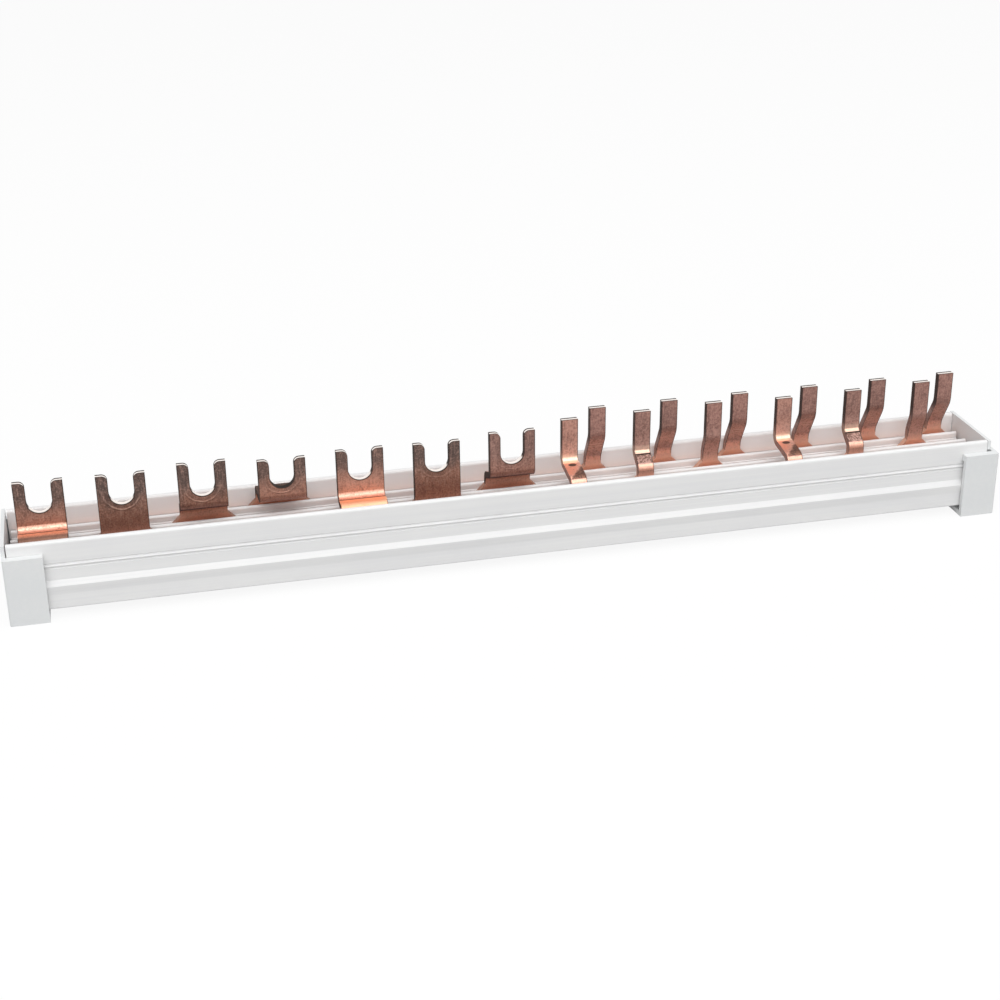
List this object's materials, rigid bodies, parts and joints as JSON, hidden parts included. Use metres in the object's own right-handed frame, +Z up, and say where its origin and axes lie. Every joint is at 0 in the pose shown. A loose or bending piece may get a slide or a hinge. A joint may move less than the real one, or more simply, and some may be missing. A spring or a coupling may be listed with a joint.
{
  "type": "comb busbar",
  "caption": "Comb busbar: plastic trough with end caps holding flat copper bars whose bent tabs rise as screw forks and paired pins in a straight row.",
  "frame": {"origin": "centre of the bounding box at its bottom, on the surface that the end caps stand on", "axes": "+X along the rail towards the pin end, +Y from the front wall to the back wall, +Z up, the way the forks and pins point"},
  "size_m": [0.2354, 0.0244, 0.0318],
  "materials": {
    "housing": "satin extruded plastic, light grey",
    "cap": "satin moulded plastic, light grey",
    "copper": "bare rolled copper, stamped and bent"
  },
  "bodies": {
    "root": {"housing_profile": "housing", "end_cap_left": "cap", "end_cap_right": "cap", "copper_bar_1": "copper", "copper_bar_2": "copper", "copper_bar_3": "copper", "copper_bar_4": "copper"}
  },
  "joints": []
}
